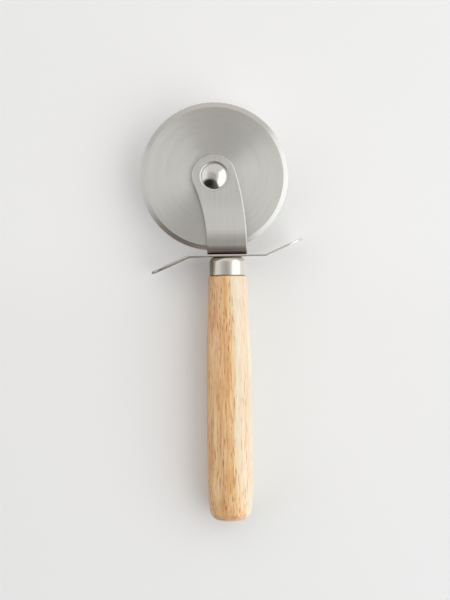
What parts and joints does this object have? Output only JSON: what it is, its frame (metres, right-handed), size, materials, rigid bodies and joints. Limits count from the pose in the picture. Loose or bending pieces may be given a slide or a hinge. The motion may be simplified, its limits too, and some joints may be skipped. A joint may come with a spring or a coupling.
{
  "type": "pizza cutter",
  "caption": "Hand-held pizza cutter with a free-spinning bevelled steel wheel on a bent arm, a finger guard, a ferrule and a turned wooden handle.",
  "frame": {"origin": "on the handle's axis, half way along its straight stretch", "axes": "-Y along the handle towards its butt, +Y towards the wheel, +Z along the wheel's axle towards the arm and the rivet's domed head"},
  "size_m": [0.0767, 0.1977, 0.0214],
  "materials": {
    "brushed_steel": "brushed stainless steel, satin",
    "polished_steel": "polished stainless steel",
    "plain_steel": "plain drawn or stamped steel",
    "handle_wood": "turned pale hardwood, sanded and oiled"
  },
  "bodies": {
    "handle_assembly": {"handle": "handle_wood", "tang": "plain_steel", "ferrule": "polished_steel", "finger_guard": "brushed_steel", "arm": "brushed_steel", "axle_rivet": "polished_steel", "spacer_washer": "plain_steel", "back_washer": "plain_steel"},
    "wheel": {"cutting_wheel": "brushed_steel"}
  },
  "joints": [
    {"name": "wheel_spin", "type": "hinge", "parent": "handle_assembly", "child": "wheel", "pos_m": [-0.0057, 0.1202, 0.0038], "axis": [0, 0, 1], "continuous": true}
  ]
}
